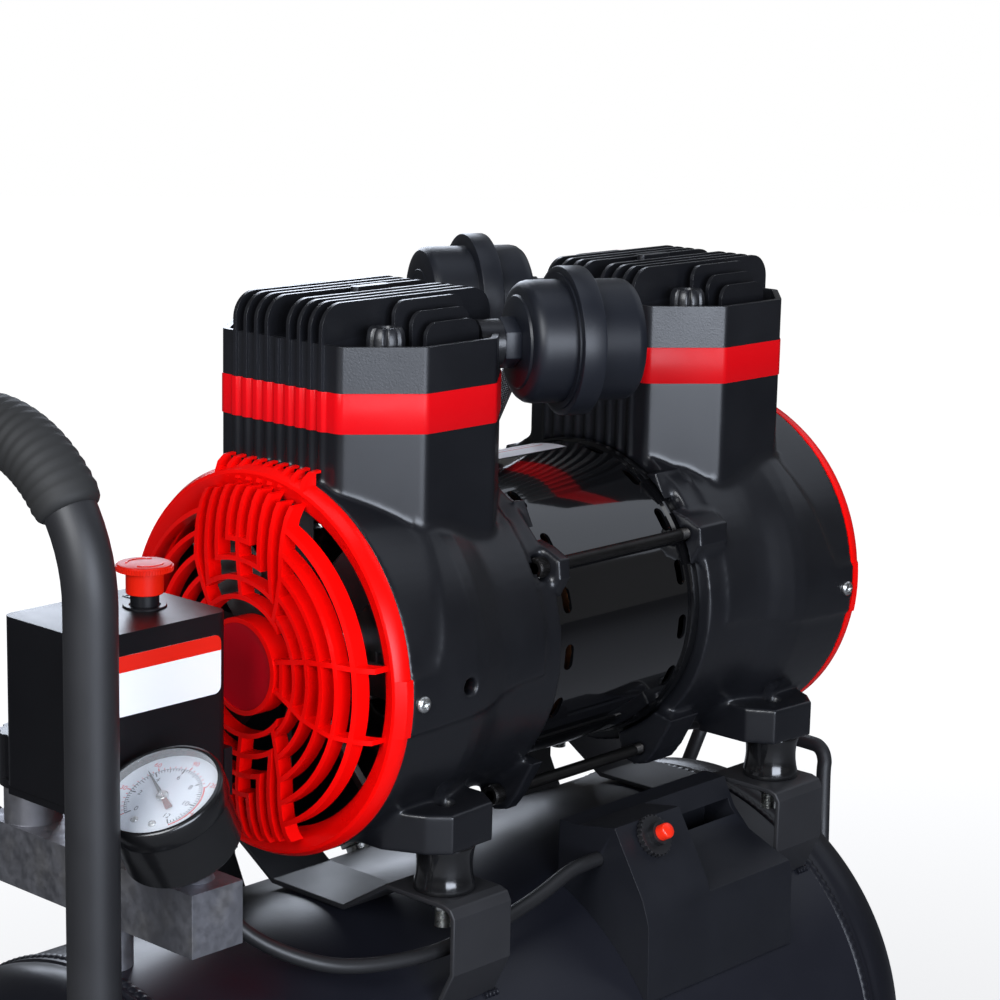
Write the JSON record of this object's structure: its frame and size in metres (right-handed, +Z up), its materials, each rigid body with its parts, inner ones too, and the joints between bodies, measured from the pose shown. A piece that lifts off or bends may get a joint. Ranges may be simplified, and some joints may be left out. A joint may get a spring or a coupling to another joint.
{
  "type": "air compressor",
  "caption": "Portable oil-free air compressor: twin-head motor pump on a horizontal wheeled receiver tank with pressure switch, gauge and handles.",
  "frame": {"origin": "on the ground, under the middle of the tank", "axes": "+X along the tank and shaft towards the wheels, -Y to the front with the control box, +Z up"},
  "size_m": [0.56, 0.287, 0.6306],
  "materials": {
    "tank_black": "satin black powder coat",
    "frame_black": "matte black powder coat",
    "rubber_black": "matte black rubber",
    "mount_rubber": "glossy black rubber",
    "tyre_black": "matte tyre rubber",
    "wheel_black": "moulded black plastic",
    "zinc": "bright zinc plate",
    "motor_gloss": "gloss black enamel",
    "core_steel": "laminated steel",
    "winding_copper": "varnished copper",
    "housing_black": "satin black paint on die cast",
    "bare_aluminium": "machined",
    "head_black": "satin black paint on die cast",
    "band_red": "gloss red film",
    "grille_red": "semi-gloss red plastic",
    "hub_burgundy": "satin dark red plastic",
    "bolt_black": "black oxide steel",
    "bearing_steel": "ground steel",
    "shaft_steel": "ground steel",
    "fan_black": "moulded black plastic",
    "crank_iron": "machined iron",
    "muffler_black": "fine-grained blue-black plastic",
    "box_grey": "fine-grained dark plastic",
    "breaker_black": "black nylon",
    "button_red": "red plastic",
    "manifold_grey": "bead blasted",
    "brass": "turned brass",
    "switch_black": "fine-grained black plastic",
    "knob_red": "red plastic",
    "gauge_black": "black lacquer",
    "dial_white": "printed white dial",
    "gauge_glass": "clear window",
    "needle_black": "matte black",
    "lead_black": "black cable sheath",
    "hose_braid": "braided stainless sleeve"
  },
  "bodies": {
    "chassis": {"tank_shell": "tank_black", "tank_ends": "tank_black", "foot_bracket": "frame_black", "rubber_feet": "rubber_black", "axle_bracket": "frame_black", "axle": "zinc", "pull_handle": "frame_black", "handle_grip": "rubber_black", "lift_handle": "frame_black", "pump_brackets": "frame_black", "rubber_mounts": "mount_rubber", "mount_studs": "zinc", "motor_barrel": "motor_gloss", "stator_core": "core_steel", "stator_windings": "winding_copper", "crankcase_left": "housing_black", "crankcase_right": "housing_black", "cylinder_liners": "bare_aluminium", "valve_plates": "bare_aluminium", "head_left": "head_black", "head_right": "head_black", "red_bands": "band_red", "cover_screws": "zinc", "grille_left": "grille_red", "grille_right": "grille_red", "hub_discs": "hub_burgundy", "tie_bolts": "bolt_black", "mufflers": "muffler_black", "bearings": "bearing_steel", "control_box": "box_grey", "run_capacitor": "bare_aluminium", "reset_breaker": "breaker_black", "manifold": "manifold_grey", "brass_fittings": "brass", "switch_body": "switch_black", "gauge_case": "gauge_black", "gauge_dial": "dial_white", "gauge_glass": "gauge_glass", "control_lead": "lead_black", "delivery_hoses": "hose_braid", "hose_ends": "zinc"},
    "wheel_front": {"wheel_front": "wheel_black", "tyre_front": "tyre_black"},
    "wheel_rear": {"wheel_rear": "wheel_black", "tyre_rear": "tyre_black"},
    "rotor": {"motor_shaft": "shaft_steel", "rotor_core": "core_steel", "fans": "fan_black", "cranks": "crank_iron"},
    "rod_left": {"conrod_left": "bare_aluminium", "piston_left": "bare_aluminium"},
    "rod_right": {"conrod_right": "bare_aluminium", "piston_right": "bare_aluminium"},
    "reset_button": {"reset_button": "button_red"},
    "switch_knob": {"switch_knob": "knob_red"},
    "needle": {"gauge_needle": "needle_black"},
    "regulator_knob": {"regulator_knob": "switch_black"},
    "coupler_sleeve": {"coupler_sleeve": "zinc"},
    "safety_ring": {"safety_ring": "zinc"},
    "drain_knob": {"drain_knob": "zinc"}
  },
  "joints": [
    {"name": "wheel_front_spin", "type": "hinge", "parent": "chassis", "child": "wheel_front", "pos_m": [0.175, -0.124, 0.0625], "axis": [0, 1, 0], "continuous": true},
    {"name": "wheel_rear_spin", "type": "hinge", "parent": "chassis", "child": "wheel_rear", "pos_m": [0.175, 0.124, 0.0625], "axis": [0, 1, 0], "continuous": true},
    {"name": "rotor_spin", "type": "hinge", "parent": "chassis", "child": "rotor", "pos_m": [0.06, 0, 0.455], "axis": [1, 0, 0], "continuous": true},
    {"name": "rod_left_turn", "type": "hinge", "parent": "rotor", "child": "rod_left", "pos_m": [-0.046, 0, 0.449], "axis": [1, 0, 0], "continuous": true},
    {"name": "rod_right_turn", "type": "hinge", "parent": "rotor", "child": "rod_right", "pos_m": [0.166, 0, 0.461], "axis": [1, 0, 0], "continuous": true},
    {"name": "reset_press", "type": "slide", "parent": "chassis", "child": "reset_button", "axis": [0, 0.8572, -0.515], "range_m": [0, 0.003], "stiffness_N_per_m": 300, "springref_m": -0.0005},
    {"name": "switch_push", "type": "slide", "parent": "chassis", "child": "switch_knob", "axis": [0, 0, -1], "range_m": [0, 0.005]},
    {"name": "needle_turn", "type": "hinge", "parent": "chassis", "child": "needle", "pos_m": [-0.219, -0.062, 0.431], "axis": [0.4684, 0.091, -0.8788], "range_deg": [-84, 192]},
    {"name": "regulator_turn", "type": "hinge", "parent": "chassis", "child": "regulator_knob", "pos_m": [-0.198, 0.052, 0.415], "axis": [0, 0, 1], "range_deg": [-180, 180]},
    {"name": "coupler_pull", "type": "slide", "parent": "chassis", "child": "coupler_sleeve", "axis": [0, -1, 0], "range_m": [0, 0.004], "stiffness_N_per_m": 600, "springref_m": -0.001},
    {"name": "safety_pull", "type": "slide", "parent": "chassis", "child": "safety_ring", "axis": [1, 0, 0], "range_m": [0, 0.003], "stiffness_N_per_m": 400, "springref_m": -0.001},
    {"name": "drain_turn", "type": "hinge", "parent": "chassis", "child": "drain_knob", "pos_m": [-0.04, 0, 0.058], "axis": [0, 0, 1], "range_deg": [0, 180]}
  ],
  "couplings": [
    {"joint": "rod_left_turn", "follows": "rotor_spin", "ratio": -1},
    {"joint": "rod_right_turn", "follows": "rotor_spin", "ratio": -1}
  ]
}
